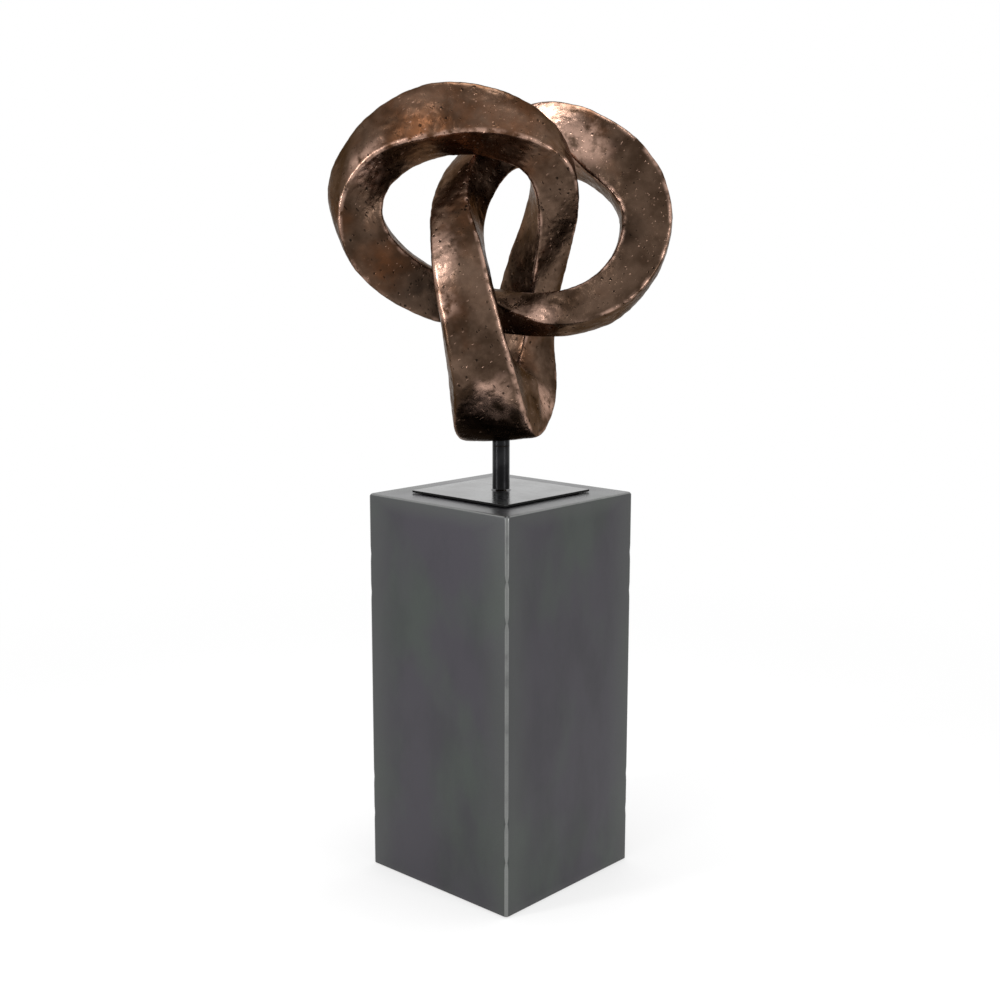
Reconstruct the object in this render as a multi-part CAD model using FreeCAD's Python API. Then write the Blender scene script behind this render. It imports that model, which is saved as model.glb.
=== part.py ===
import FreeCAD, Part
import math
import os

# A knot of cast bronze, an alternating trefoil, stands on a slim steel post.
# The post is bolted to a square steel plate, which lies on felt pads on a tall
# square pedestal of sheet steel over a timber core. Millimetres, +Z up. The origin
# is the middle of the pedestal's foot. The knot's front looks along -Y, and the
# pedestal stands cornerwise to it, with its corners at the front, right, back and
# left.

Vector = FreeCAD.Vector
up_axis = Vector(0, 0, 1)

# Pedestal
pedestal_width = 335.0
pedestal_height = 700.0
pedestal_turn_degrees = -42.6
sheet_thickness = 2.0
upright_edge_radius = 8.0
top_edge_radius = 4.0
floor_gap = 2.5
board_thickness = 18.0
board_play = 0.5
board_rim_chamfer = 2.0
core_corner_chamfer = 8.0
batten_width = 38.0

# Timber screws, up through the bottom board into the battens, drawn with flat sides
screw_sides = 12
screw_length = 50.0
screw_radius = 2.25
screw_head_radius = 4.5
screw_head_height = 2.8
screw_tip_height = 6.0
screw_tip_radius = 0.5
screw_play = 0.1

# Rubber mat glued under the bottom board, which the pedestal stands on
mat_thickness = 5.0
mat_inset = 42.0
mat_edge_chamfer = 1.5

# Base plate and the felt pads under it
plate_width = 225.0
plate_thickness = 4.0
plate_edge_chamfer = 0.6
pad_width = 22.0
pad_thickness = 1.2
pad_inset = 24.0

# Post, the ring round its foot and the bolt that holds it from below
post_radius = 15.5
post_exposed_length = 79.0
foot_ring_radius = 18.5
foot_ring_height = 2.6
bolt_radius = 5.0
bolt_length = 40.0
bolt_head_radius = 10.0
bolt_play = 0.2
key_width = 6.0
key_depth = 2.6
tapped_depth_spare = 5.0

# Spigot at the top of the post, and the sleeve in the knot that turns on it
spigot_radius = 10.0
spigot_length = 66.0
spigot_lead_in = 1.5
running_clearance = 0.05
spigot_end_gap = 2.0
washer_thickness = 2.0
sleeve_showing_length = 9.0
sleeve_end_wall = 6.0
boss_wall = 8.0
boss_height = 34.0

# Knot: reach of its centre line, its square bar and the wall of the casting
knot_half_width = 300.0
knot_rise = 493.0
knot_half_depth = 150.0
bar_half = 44.0
casting_wall = 5.0

cut_overrun = 1.0
sewing_gap = 0.001

# The bar has four long faces. Each station names one of them and says which way
# it looks. After one lap the bar has made half a turn, so that each face runs on
# into the one opposite.
FIRST, SECOND, THIRD, FOURTH = range(4)

# One row for each station on the centre line, from the foot round to the foot:
# its place as shares (across, up, towards) of the half width, rise and half depth,
# a face and the way it looks (across, up, towards), and half the bar's depth
# under that face and half its width along it, as shares of bar_half.
station_shares = [
    ((-0.01, 0.00, 0.03), SECOND, (0.05, -1.0, 0.15), 1.23, 1.66),
    ((-0.11, 0.14, 0.57), SECOND, (0.08, -0.2, 1.0), 1.09, 1.27),
    ((-0.18, 0.35, 0.75), SECOND, (0.0, 0.0, 1.0), 1.02, 1.09),
    ((-0.24, 0.55, 0.57), SECOND, (-0.07, 0.0, 1.0), 0.98, 0.98),
    ((-0.23, 0.73, 0.23), SECOND, (-0.56, 0.0, 0.83), 0.82, 0.82),
    ((-0.06, 0.89, -0.17), THIRD, (0.2, -0.2, 0.95), 0.82, 0.82),
    ((0.22, 0.96, -0.40), SECOND, (0.0, 0.7, 0.7), 1.02, 1.00),
    ((0.56, 0.91, -0.33), SECOND, (0.0, 0.2, 0.98), 1.09, 1.14),
    ((0.80, 0.76, -0.13), SECOND, (0.0, 0.05, 1.0), 1.05, 1.05),
    ((0.81, 0.57, 0.10), SECOND, (-0.1, 0.0, 1.0), 0.95, 0.95),
    ((0.60, 0.40, 0.27), SECOND, (-0.15, 0.3, 0.94), 0.80, 0.82),
    ((0.25, 0.34, 0.23), SECOND, (0.0, 0.5, 0.87), 0.68, 0.68),
    ((-0.10, 0.36, 0.00), FIRST, (0.0, -0.15, 1.0), 0.77, 0.77),
    ((-0.45, 0.42, -0.10), FIRST, (0.0, 0.0, 1.0), 0.95, 0.95),
    ((-0.74, 0.56, -0.07), FIRST, (0.0, 0.0, 1.0), 0.98, 0.98),
    ((-0.84, 0.74, 0.07), FIRST, (0.4, 0.0, 0.91), 0.91, 0.91),
    ((-0.69, 0.90, 0.23), FIRST, (0.5, -0.56, 0.66), 0.95, 0.95),
    ((-0.36, 1.00, 0.37), FIRST, (0.0, -0.96, 0.29), 1.11, 1.11),
    ((0.02, 0.975, 0.43), FIRST, (-0.26, -0.82, 0.5), 0.95, 0.95),
    ((0.27, 0.86, 0.30), FIRST, (-0.19, -0.11, 0.97), 0.84, 0.84),
    ((0.28, 0.67, -0.07), FIRST, (0.41, 0.0, 0.91), 0.82, 0.82),
    ((0.18, 0.44, -0.40), FIRST, (0.7, 0.0, 0.7), 0.91, 0.91),
    ((0.13, 0.22, -0.59), FIRST, (0.7, 0.0, 0.7), 1.00, 1.00),
    ((0.11, 0.05, -0.41), FIRST, (0.62, 0.25, 0.75), 1.18, 1.14),
]

# One side of the bar's section as shares of its half sizes, up to and with the
# corner after it. The second point is the crown of the face.
corner_cut_share = 0.30
crown_share = 1.05
outer_side_shares = [
    (1.0, corner_cut_share - 1.0),
    (crown_share, 0.0),
    (1.0, 1.0 - corner_cut_share),
    (1.0, 1.0),
]
cavity_side_shares = [(1.0, 0.0), (1.0, 1.0)]
sides = 4
skin_rings_per_station = 6
cavity_rings_per_station = 4

# Heights, from the floor up
board_foot = mat_thickness
board_top = board_foot + board_thickness
inner_top = pedestal_height - sheet_thickness
top_board_foot = inner_top - board_thickness
plate_foot = pedestal_height + pad_thickness
plate_top = plate_foot + plate_thickness
post_shoulder = plate_top + post_exposed_length
sleeve_foot = post_shoulder + washer_thickness
knot_underside = sleeve_foot + sleeve_showing_length
spigot_top = post_shoulder + spigot_length
sleeve_bore_top = spigot_top + spigot_end_gap
sleeve_top = sleeve_bore_top + sleeve_end_wall

# Places on the square plan
board_width = pedestal_width - 2 * sheet_thickness - 2 * board_play
batten_centre = board_width / 2 - batten_width / 2
mat_width = pedestal_width - 2 * mat_inset
pad_centre = plate_width / 2 - pad_inset
corners = {"front": (1, -1), "right": (1, 1), "back": (-1, 1), "left": (-1, -1)}


def cylinder(radius, foot, top):
    """Upright cylinder on the axis of the post."""
    return Part.makeCylinder(radius, top - foot, Vector(0, 0, foot))


def square_block(width, foot, top):
    """Upright block with a square section, centred on the axis of the post."""
    return Part.makeBox(width, width, top - foot, Vector(-width / 2, -width / 2, foot))


def turned(outline):
    """Solid turned about the axis of the post from (radius, height) points."""
    points = [Vector(radius, 0, height) for radius, height in outline]
    face = Part.Face(Part.makePolygon(points + points[:1]))
    return face.revolve(Vector(0, 0, 0), up_axis, 360)


def polygon(sides, reach, height):
    """Closed wire of a level polygon round the axis of the post."""
    points = []
    for side in range(sides):
        turn = math.radians(360 * side / sides)
        points.append(Vector(reach * math.cos(turn), reach * math.sin(turn), height))
    return Part.makePolygon(points + points[:1])


def at_corner(shape, distance, corner):
    """Copy of a shape moved out to one corner, equally far from both middles."""
    side_x, side_y = corners[corner]
    copy = shape.copy()
    copy.translate(Vector(side_x * distance, side_y * distance, 0))
    return copy


def at_corners(shape, distance):
    """The same shape at all four corners, as separate solids of one node."""
    return Part.makeCompound([at_corner(shape, distance, corner) for corner in corners])


def cornerwise(shape):
    """Turn a shape from the square plan to the way that the pedestal stands."""
    shape.rotate(Vector(0, 0, 0), up_axis, pedestal_turn_degrees)
    return shape


def upright_edges(shape):
    """Straight edges of a shape that run along Z."""
    found = []
    for edge in shape.Edges:
        start, end = edge.Vertexes[0].Point, edge.Vertexes[-1].Point
        if abs(start.x - end.x) + abs(start.y - end.y) < abs(start.z - end.z) / 1000:
            found.append(edge)
    return found


def edges_at_height(shape, height):
    """Edges of a shape that lie wholly in the level plane at a height."""
    found = []
    for edge in shape.Edges:
        box = edge.BoundBox
        if max(abs(box.ZMin - height), abs(box.ZMax - height)) < shape.BoundBox.ZLength / 10000:
            found.append(edge)
    return found


def flat_for_round(radius):
    """Leg of the chamfer whose flat just touches a round edge of this radius."""
    return radius * (2 - math.sqrt(2))


def pedestal_cover():
    """Folded and welded sheet: four sides and a top, open below.

    Outside the bends are round. Inside, out of sight, each is a flat that touches it.
    """
    outer = square_block(pedestal_width, floor_gap, pedestal_height)
    outer = outer.makeFillet(upright_edge_radius, upright_edges(outer))
    outer = outer.makeFillet(top_edge_radius, edges_at_height(outer, pedestal_height))
    inner = square_block(pedestal_width - 2 * sheet_thickness, floor_gap - cut_overrun, inner_top)
    upright_flat = flat_for_round(upright_edge_radius - sheet_thickness)
    inner = inner.makeChamfer(upright_flat, upright_edges(inner))
    rim_flat = flat_for_round(top_edge_radius - sheet_thickness)
    inner = inner.makeChamfer(rim_flat, edges_at_height(inner, inner_top))
    return outer.cut(inner)


def board(foot):
    """Square board with its corners cut back inside the cover's rounded ones."""
    block = square_block(board_width, foot, foot + board_thickness)
    return block.makeChamfer(core_corner_chamfer, upright_edges(block))


def top_board():
    """Board under the cover's top, its rim eased inside the rounded sheet."""
    solid = board(top_board_foot)
    return solid.makeChamfer(board_rim_chamfer, edges_at_height(solid, inner_top))


def timber_screw(play):
    """Countersunk screw, head face down at the board's foot, or its hole with play."""
    shank = screw_radius + play
    outline = [
        (screw_head_radius + play, board_foot),
        (shank, board_foot + screw_head_height),
        (shank, board_foot + screw_length - screw_tip_height + play),
        (screw_tip_radius + play, board_foot + screw_length + play),
    ]
    return Part.makeLoft([polygon(screw_sides, *point) for point in outline], True, True)


def floor_mat():
    """Square of rubber with eased edges, inside the row of screws."""
    mat = square_block(mat_width, 0, mat_thickness)
    mat = mat.makeChamfer(mat_edge_chamfer, upright_edges(mat))
    return mat.makeChamfer(mat_edge_chamfer, edges_at_height(mat, 0))


def bottom_board():
    """Board that closes the core, with countersunk holes for the screws."""
    return board(board_foot).cut(at_corners(timber_screw(screw_play), batten_centre))


def batten(corner):
    """Corner batten between the boards, its outer corner cut back like theirs."""
    side_x, side_y = corners[corner]
    block = square_block(batten_width, board_top, top_board_foot)
    outer_edge = [
        edge
        for edge in upright_edges(block)
        if edge.Vertexes[0].X * side_x > 0 and edge.Vertexes[0].Y * side_y > 0
    ]
    block = block.makeChamfer(core_corner_chamfer, outer_edge)
    return at_corner(block.cut(timber_screw(screw_play)), batten_centre, corner)


def post_bolt_body(play):
    """Countersunk bolt without its key hole, or its hole with play."""
    cone_height = bolt_head_radius - bolt_radius
    top = plate_foot + bolt_length
    return turned(
        [
            (0, plate_foot),
            (bolt_head_radius + play, plate_foot),
            (bolt_radius + play, plate_foot + cone_height),
            (bolt_radius + play, top),
            (0, top),
        ]
    )


def base_plate():
    """Square plate with eased edges and a countersunk hole for the bolt."""
    plate = square_block(plate_width, plate_foot, plate_top)
    level_edges = edges_at_height(plate, plate_foot) + edges_at_height(plate, plate_top)
    plate = plate.makeChamfer(plate_edge_chamfer, level_edges + upright_edges(plate))
    return plate.cut(post_bolt_body(bolt_play))


def felt_pad():
    return square_block(pad_width, pedestal_height, plate_foot)


def post_bolt():
    """Countersunk bolt with a hexagonal key hole in its head."""
    key_hole = Part.Face(polygon(6, key_width / math.sqrt(3), plate_foot - cut_overrun))
    return post_bolt_body(0).cut(key_hole.extrude(up_axis * (key_depth + cut_overrun)))


def post():
    """Turned steel post: tapped foot, shoulder, and a spigot with a lead-in."""
    body = turned(
        [
            (0, plate_top),
            (post_radius, plate_top),
            (post_radius, post_shoulder),
            (spigot_radius, post_shoulder),
            (spigot_radius, spigot_top - spigot_lead_in),
            (spigot_radius - spigot_lead_in, spigot_top),
            (0, spigot_top),
        ]
    )
    tapped_top = plate_foot + bolt_length + tapped_depth_spare
    tapped = cylinder(bolt_radius + bolt_play, plate_top, tapped_top)
    return body.cut(tapped.fuse(post_bolt_body(bolt_play)))


def foot_ring():
    """Small sloped ring that closes the joint between post and plate."""
    return turned(
        [
            (post_radius, plate_top),
            (foot_ring_radius, plate_top),
            (post_radius, plate_top + foot_ring_height),
        ]
    )


def spigot_hole(foot, top):
    """Running fit on the spigot."""
    return cylinder(spigot_radius + running_clearance, foot - cut_overrun, top)


def thrust_washer():
    """Washer that carries the knot on the shoulder of the post."""
    disc = cylinder(post_radius, post_shoulder, sleeve_foot)
    return disc.cut(spigot_hole(post_shoulder, sleeve_foot + cut_overrun))


def sleeve_blank():
    return cylinder(post_radius, sleeve_foot, sleeve_top)


def knot_sleeve():
    """Steel sleeve fixed in the knot, with a blind bore that turns on the spigot."""
    return sleeve_blank().cut(spigot_hole(sleeve_foot, sleeve_bore_top))


def station_centre(row):
    """Centre of the bar at a station; numbers past the last start another lap."""
    across, up, towards = station_shares[row % len(station_shares)][0]
    foot_depth = station_shares[0][3] * bar_half
    return Vector(
        across * knot_half_width,
        -towards * knot_half_depth,
        knot_underside + foot_depth + up * knot_rise,
    )


# A cubic spline runs through its stations when each pole is this weighted sum of
# the stations near it. The weights fall away so fast that a few each side do.
filter_root = math.sqrt(3) - 2
filter_reach = 14


def pole(value_at, row):
    """Pole, at one row, of the cubic that runs through value_at(row) at each row."""
    total = Vector(0, 0, 0)
    for step in range(-filter_reach, filter_reach + 1):
        total += value_at(row + step) * filter_root ** abs(step)
    return total * math.sqrt(3)


def cubic_weights(step):
    """Weights of the four poles round a place between two stations."""
    rest = 1 - step
    return (
        rest**3 / 6,
        (3 * step**3 - 6 * step**2 + 4) / 6,
        (3 * rest**3 - 6 * rest**2 + 4) / 6,
        step**3 / 6,
    )


def section_axes(row):
    """Half sizes of the bar as vectors, out of its first and its second face."""
    along = pole(station_centre, row + 1) - pole(station_centre, row - 1)
    along.normalize()
    place, face, (across, up, towards), deep, wide = station_shares[row]
    look = Vector(across, -towards, up)
    look = look - along * look.dot(along)
    look.normalize()
    beside = along.cross(look)
    first = [look, beside * -1, look * -1, beside][face]
    first_share, second_share = (wide, deep) if face in (SECOND, FOURTH) else (deep, wide)
    return first, along.cross(first), first_share * bar_half, second_share * bar_half


def all_sides(side_shares):
    """Section all round the bar, from one side repeated at quarter turns."""
    points = []
    for side in range(sides):
        cosine = round(math.cos(math.radians(90 * side)))
        sine = round(math.sin(math.radians(90 * side)))
        for out, beside in side_shares:
            points.append((out * cosine - beside * sine, out * sine + beside * cosine))
    return points


def eased(section):
    """Section with its corners rounded, each point drawn towards its neighbours."""
    points = []
    for place, (x, y) in enumerate(section):
        before, after = section[place - 1], section[(place + 1) % len(section)]
        points.append(((before[0] + 4 * x + after[0]) / 6, (before[1] + 4 * y + after[1]) / 6))
    return points


def ring_at_station(row, section, inset):
    """Points round the bar at a station, drawn in by an inset."""
    first, second, first_half, second_half = section_axes(row)
    centre = station_centre(row)
    return [
        centre + first * (x * (first_half - inset)) + second * (y * (second_half - inset))
        for x, y in section
    ]


def bar_skin(section, inset, rings_per_station):
    """Closed solid inside one faceted skin that runs round the knot and shuts on itself."""
    rows = len(station_shares)
    around = len(section)
    half_turn = around // 2
    stations = [ring_at_station(row, section, inset) for row in range(rows)]

    def wrapped(rings, row, place):
        """Point of a ring in any lap, where each lap turns the section half round."""
        lap, within = divmod(row, len(rings))
        return rings[within][(place + half_turn * lap) % around]

    poles = [
        [pole(lambda at: wrapped(stations, at, place), row) for place in range(around)]
        for row in range(rows)
    ]
    rings = []
    for row in range(rows):
        for step in range(rings_per_station):
            weights = cubic_weights(step / rings_per_station)
            ring = []
            for place in range(around):
                point = Vector(0, 0, 0)
                for reach, weight in enumerate(weights):
                    point += wrapped(poles, row - 1 + reach, place) * weight
                ring.append(point)
            rings.append(ring)

    points = [point for ring in rings for point in ring]

    def number(row, place):
        lap, within = divmod(row, len(rings))
        return within * around + (place + half_turn * lap) % around

    facets = []
    for row in range(len(rings)):
        for place in range(around):
            near, near_next = number(row, place), number(row, place + 1)
            far, far_next = number(row + 1, place), number(row + 1, place + 1)
            rising = points[near].distanceToPoint(points[far_next])
            falling = points[near_next].distanceToPoint(points[far])
            if rising < falling:
                facets += [(near, near_next, far_next), (near, far_next, far)]
            else:
                facets += [(near, near_next, far), (near_next, far_next, far)]
    skin = Part.Shape()
    skin.makeShapeFromMesh((points, facets), sewing_gap)
    solid = Part.makeSolid(skin.Shells[0])
    if solid.Volume < 0:
        solid.reverse()
    return solid


def knot_casting():
    """Hollow casting with a boss inside its underside for the sleeve."""
    outer = bar_skin(eased(all_sides(outer_side_shares)), 0, skin_rings_per_station)
    cavity = bar_skin(all_sides(cavity_side_shares), casting_wall, cavity_rings_per_station)
    boss = cylinder(post_radius + boss_wall, sleeve_foot, knot_underside + boss_height)
    return outer.cut(cavity.cut(boss)).cut(sleeve_blank())


def export(name, shape):
    """Write one node and print what it measures."""
    box = shape.BoundBox
    print(
        f"{name}: {len(shape.Solids)} solid(s), valid {shape.isValid()}, "
        f"{shape.Volume / 1000:.1f} cm3, "
        f"{box.XLength:.1f} x {box.YLength:.1f} x {box.ZLength:.1f} mm, "
        f"from z {box.ZMin:.1f}"
    )
    shape.exportStep(f"parts/{name}.step")


def main():
    os.makedirs("parts", exist_ok=True)
    export("pedestal_cover", cornerwise(pedestal_cover()))
    export("pedestal_top_board", cornerwise(top_board()))
    export("pedestal_bottom_board", cornerwise(bottom_board()))
    for corner in corners:
        export(f"corner_batten_{corner}", cornerwise(batten(corner)))
    export("bottom_board_screws", cornerwise(at_corners(timber_screw(0), batten_centre)))
    export("floor_mat", cornerwise(floor_mat()))
    export("felt_pads", cornerwise(at_corners(felt_pad(), pad_centre)))
    export("base_plate", cornerwise(base_plate()))
    export("post_bolt", post_bolt())
    export("foot_ring", foot_ring())
    export("post", post())
    export("thrust_washer", thrust_washer())
    export("knot_sleeve", knot_sleeve())
    export("knot_casting", knot_casting())


main()
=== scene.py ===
# %% [markdown]
# # A bronze knot on a metal-clad pedestal
#
# This lesson dresses a measured model of a standing sculpture. A trefoil knot of cast
# bronze turns on a slim black post, the post stands on a thin steel plate, and the
# plate lies on a tall pedestal covered with dark sheet steel.
#
# The measured model is loaded first and never changed. What shows is then made again
# with the roundness, the dents and the finish of the real thing, exactly in its place.

# %% Load the measured model
import bpy
import bmesh
import math
from mathutils import Matrix, Vector, noise


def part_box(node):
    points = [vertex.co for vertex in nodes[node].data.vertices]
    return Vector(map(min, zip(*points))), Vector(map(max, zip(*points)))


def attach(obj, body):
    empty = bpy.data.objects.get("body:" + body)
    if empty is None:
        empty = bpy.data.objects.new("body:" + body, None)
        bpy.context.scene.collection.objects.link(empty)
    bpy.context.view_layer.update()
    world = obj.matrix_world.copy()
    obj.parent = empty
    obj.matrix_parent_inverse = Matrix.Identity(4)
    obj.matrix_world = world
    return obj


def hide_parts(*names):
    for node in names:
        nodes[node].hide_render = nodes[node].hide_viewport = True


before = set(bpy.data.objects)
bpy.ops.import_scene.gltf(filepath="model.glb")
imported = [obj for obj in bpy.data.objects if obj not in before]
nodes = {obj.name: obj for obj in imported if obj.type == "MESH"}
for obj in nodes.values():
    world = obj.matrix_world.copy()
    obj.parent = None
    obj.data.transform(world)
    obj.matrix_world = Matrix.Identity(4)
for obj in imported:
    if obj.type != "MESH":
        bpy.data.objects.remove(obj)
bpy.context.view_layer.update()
mm = 0.001

# %% [markdown]
# ## Two small helpers for node trees
#
# Every finish and every shape rule here is a node tree. Writing one out takes a line
# per node: its kind, what goes into its sockets, and its settings. A socket may take a
# number, a colour, or another node, which then stands for its first output. Sockets are
# given by name, or by number on the nodes where several share one name.
#
# Colours are written as a painter would pick them on screen, as hex values, and are
# turned to the linear values that a renderer works with.

# %% Helpers for nodes and colours
def add(tree, kind, sockets=None, **settings):
    """Add one node, with its settings, its values and its links."""
    node = tree.nodes.new(kind)
    for name, value in settings.items():
        setattr(node, name, value)
    for key, value in (sockets or {}).items():
        if isinstance(value, bpy.types.Node):
            value = value.outputs[0]
        if isinstance(value, bpy.types.NodeSocket):
            tree.links.new(value, node.inputs[key])
        else:
            node.inputs[key].default_value = value
    return node


def colour(hex_value):
    """Linear colour of an sRGB hex value such as #4a3a32."""
    channels = [int(hex_value[place:place + 2], 16) / 255 for place in (1, 3, 5)]
    linear = [c / 12.92 if c <= 0.04045 else ((c + 0.055) / 1.055) ** 2.4 for c in channels]
    return (*linear, 1.0)


# %% [markdown]
# ## A bar that follows a knot
#
# The knot is one bar of roughly square section that runs round a closed path and makes
# half a turn on the way, so that each of its four faces runs on into the one opposite.
# It could be sculpted by hand, but it follows a rule, and a rule is easier to adjust:
# a row of stations, each with its place, the way one face looks and two half sizes.
#
# The shares below are the ones that the measured model was built from, so that the
# dressed knot lies in the same place. Across, up and towards are shares of the knot's
# half width, rise and half depth. The face and its look set the twist, and the last two
# are half the bar's depth under that face and half its width, as shares of its half size.

# %% The stations of the knot
knot_half_width = 300 * mm
knot_rise = 493 * mm
knot_half_depth = 150 * mm
bar_half = 44 * mm
sleeve_showing_length = 9 * mm
knot_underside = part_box("knot_sleeve")[0][2] + sleeve_showing_length

FIRST, SECOND, THIRD, FOURTH = range(4)
station_shares = [
    ((-0.01, 0.00, 0.03), SECOND, (0.05, -1.0, 0.15), 1.23, 1.66),
    ((-0.11, 0.14, 0.57), SECOND, (0.08, -0.2, 1.0), 1.09, 1.27),
    ((-0.18, 0.35, 0.75), SECOND, (0.0, 0.0, 1.0), 1.02, 1.09),
    ((-0.24, 0.55, 0.57), SECOND, (-0.07, 0.0, 1.0), 0.98, 0.98),
    ((-0.23, 0.73, 0.23), SECOND, (-0.56, 0.0, 0.83), 0.82, 0.82),
    ((-0.06, 0.89, -0.17), THIRD, (0.2, -0.2, 0.95), 0.82, 0.82),
    ((0.22, 0.96, -0.40), SECOND, (0.0, 0.7, 0.7), 1.02, 1.00),
    ((0.56, 0.91, -0.33), SECOND, (0.0, 0.2, 0.98), 1.09, 1.14),
    ((0.80, 0.76, -0.13), SECOND, (0.0, 0.05, 1.0), 1.05, 1.05),
    ((0.81, 0.57, 0.10), SECOND, (-0.1, 0.0, 1.0), 0.95, 0.95),
    ((0.60, 0.40, 0.27), SECOND, (-0.15, 0.3, 0.94), 0.80, 0.82),
    ((0.25, 0.34, 0.23), SECOND, (0.0, 0.5, 0.87), 0.68, 0.68),
    ((-0.10, 0.36, 0.00), FIRST, (0.0, -0.15, 1.0), 0.77, 0.77),
    ((-0.45, 0.42, -0.10), FIRST, (0.0, 0.0, 1.0), 0.95, 0.95),
    ((-0.74, 0.56, -0.07), FIRST, (0.0, 0.0, 1.0), 0.98, 0.98),
    ((-0.84, 0.74, 0.07), FIRST, (0.4, 0.0, 0.91), 0.91, 0.91),
    ((-0.69, 0.90, 0.23), FIRST, (0.5, -0.56, 0.66), 0.95, 0.95),
    ((-0.36, 1.00, 0.37), FIRST, (0.0, -0.96, 0.29), 1.11, 1.11),
    ((0.02, 0.975, 0.43), FIRST, (-0.26, -0.82, 0.5), 0.95, 0.95),
    ((0.27, 0.86, 0.30), FIRST, (-0.19, -0.11, 0.97), 0.84, 0.84),
    ((0.28, 0.67, -0.07), FIRST, (0.41, 0.0, 0.91), 0.82, 0.82),
    ((0.18, 0.44, -0.40), FIRST, (0.7, 0.0, 0.7), 0.91, 0.91),
    ((0.13, 0.22, -0.59), FIRST, (0.7, 0.0, 0.7), 1.00, 1.00),
    ((0.11, 0.05, -0.41), FIRST, (0.62, 0.25, 0.75), 1.18, 1.14),
]
stations = len(station_shares)
print(stations, "stations round the knot")

# %% [markdown]
# ## From stations to poles
#
# A smooth curve through the stations is a cubic B-spline. Its poles, the points that
# pull on the curve, are not the stations themselves: each pole is a weighted sum of the
# stations around it, with weights that fall away so fast that a few on each side do.
# The same sum is used for the two vectors that carry the section, so that the whole bar
# is one smooth surface through all its stations.
#
# The poles are laid out for two laps. In the second lap the section's vectors point the
# other way, which is how the half turn closes on itself.

# %% Poles of the path and of the section
filter_root = math.sqrt(3) - 2
filter_reach = 14


def station_centre(row):
    """Middle of the bar at a station, in metres."""
    across, up, towards = station_shares[row % stations][0]
    foot_depth = station_shares[0][3] * bar_half
    return Vector((
        across * knot_half_width,
        -towards * knot_half_depth,
        knot_underside + foot_depth + up * knot_rise,
    ))


def pole(value_at, row):
    """Pole of the cubic that runs through value_at(row) at each row."""
    total = Vector((0, 0, 0))
    for step in range(-filter_reach, filter_reach + 1):
        total += value_at(row + step) * filter_root ** abs(step)
    return total * math.sqrt(3)


def section_halves(row):
    """Half sizes of the bar as vectors, out of its first and its second face."""
    along = pole(station_centre, row + 1) - pole(station_centre, row - 1)
    along.normalize()
    place, face, (across, up, towards), deep, wide = station_shares[row]
    look = Vector((across, -towards, up))
    look -= along * look.dot(along)
    look.normalize()
    beside = along.cross(look)
    first = [look, -beside, -look, beside][face]
    first_share, second_share = (wide, deep) if face in (SECOND, FOURTH) else (deep, wide)
    return first * (first_share * bar_half), along.cross(first) * (second_share * bar_half)


halves = [section_halves(row) for row in range(stations)]


def half_at(row, which):
    """First or second half-size vector, turned round in every second lap."""
    lap, within = divmod(row, stations)
    return halves[within][which] * (1 if lap % 2 == 0 else -1)


path_poles = [pole(station_centre, row) for row in range(2 * stations)]
first_poles = [pole(lambda at: half_at(at, 0), row) for row in range(2 * stations)]
second_poles = [pole(lambda at: half_at(at, 1), row) for row in range(2 * stations)]
print(len(path_poles), "poles in two laps")

# %% [markdown]
# ## Control loops that a node tree can read
#
# Geometry Nodes can turn a loop of edges into a curve, and it carries any attribute of
# the points along. So the path becomes a mesh of 48 points, each with two vectors and
# four numbers, and the bar's section becomes a small closed loop of its own.
#
# There are two sections, one with crisp corners and one with soft ones. A real casting
# goes from one to the other, because its wax was smoothed by hand: an edge that the eye
# follows stays crisp, and its neighbour is wiped round. So each station also says how
# soft each of its corners is.

# %% Loops that carry values
def loop_object(name, points, point_values=None):
    """Closed loop of edges, with named vectors or numbers on its points."""
    mesh = bpy.data.meshes.new(name)
    count = len(points)
    mesh.from_pydata(points, [(place, (place + 1) % count) for place in range(count)], [])
    for label, values in (point_values or {}).items():
        if isinstance(values[0], Vector):
            attribute = mesh.attributes.new(label, "FLOAT_VECTOR", "POINT")
            attribute.data.foreach_set("vector", [value for vector in values for value in vector])
        else:
            mesh.attributes.new(label, "FLOAT", "POINT").data.foreach_set("value", values)
    loop = bpy.data.objects.new(name, mesh)
    bpy.context.scene.collection.objects.link(loop)
    return loop


# %% A crisp and a soft section
# A side's crown stands out a little. A corner is cut over a share of the half size, and
# its own pole is drawn in to a share of it.
crown_share = 1.05
crisp_corner_share, crisp_reach_share = 0.16, 1.0
soft_corner_share, soft_reach_share = 0.44, 0.95


def section_points(corner_share, reach_share):
    """Poles of a square section with half size 1."""
    side = [
        (1, corner_share - 1),
        (crown_share, 0),
        (1, 1 - corner_share),
        (reach_share, reach_share),
    ]
    points = []
    for turn in range(4):
        cosine, sine = round(math.cos(turn * math.pi / 2)), round(math.sin(turn * math.pi / 2))
        points += [(x * cosine - y * sine, x * sine + y * cosine, 0) for x, y in side]
    return points


crisp_loop = loop_object("crisp_loop", section_points(crisp_corner_share, crisp_reach_share))
soft_loop = loop_object("soft_loop", section_points(soft_corner_share, soft_reach_share))
print("sections of", len(crisp_loop.data.vertices), "and", len(soft_loop.data.vertices), "points")

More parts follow.
